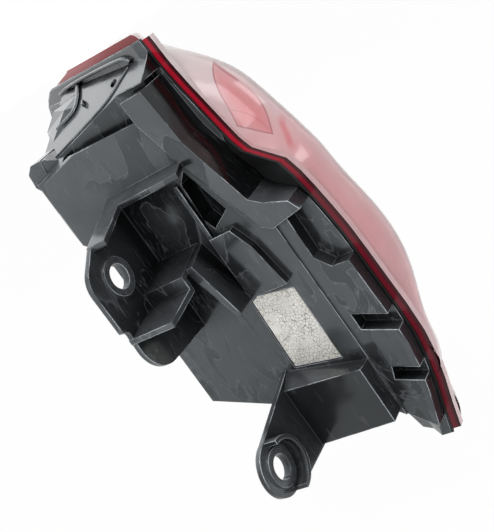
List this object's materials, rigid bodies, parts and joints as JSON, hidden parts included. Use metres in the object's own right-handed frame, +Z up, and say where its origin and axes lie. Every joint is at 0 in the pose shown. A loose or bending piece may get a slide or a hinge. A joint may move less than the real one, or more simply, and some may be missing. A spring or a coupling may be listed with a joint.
{
  "type": "tail light cluster",
  "caption": "Wrap-round rear lamp for a road vehicle: red lens on a black moulded housing with bolt ears, bulbs on a carrier at the back and locating studs.",
  "frame": {"origin": "on the axis of the upper ear's bolt hole, at the ear's back face, which seats on the body", "axes": "+X outboard across the lamp, +Y along the bolt towards the front of the vehicle, +Z up; the lens faces -Y and the ears point to -X"},
  "size_m": [0.1654, 0.2073, 0.271],
  "materials": {
    "black_plastic": "moulded black plastic, semi-gloss, with water marks and fine scratches",
    "sealant": "black lens sealant",
    "red_lens": "clear red lens plastic, glossy",
    "red_inner": "clear red inner lens plastic",
    "foil": "crackled silver foil, bare",
    "mirror_coat": "metallised reflector surface",
    "steel": "plated screw steel",
    "grey_plastic": "grey moulded plastic",
    "seal_rubber": "black rubber",
    "brass_strip": "stamped brass",
    "bulb_glass": "clear bulb glass with a metal cap, one sealed piece",
    "stud_plastic": "natural nylon",
    "foam": "closed-cell foam strip"
  },
  "bodies": {
    "root": {"housing": "black_plastic", "lens_seal": "sealant", "outer_lens": "red_lens", "inner_lens": "red_inner", "label": "foil", "reflector": "mirror_coat", "reflector_screws": "steel", "bulb_carrier": "grey_plastic", "carrier_seal": "seal_rubber", "contact_strip": "brass_strip", "connector_pins": "brass_strip", "turn_bulb": "bulb_glass", "stop_bulb": "bulb_glass", "reverse_bulb": "bulb_glass", "upper_ball_stud": "stud_plastic", "lower_ball_stud": "stud_plastic", "upper_vent": "seal_rubber", "lower_vent": "seal_rubber", "body_seal": "foam"}
  },
  "joints": []
}
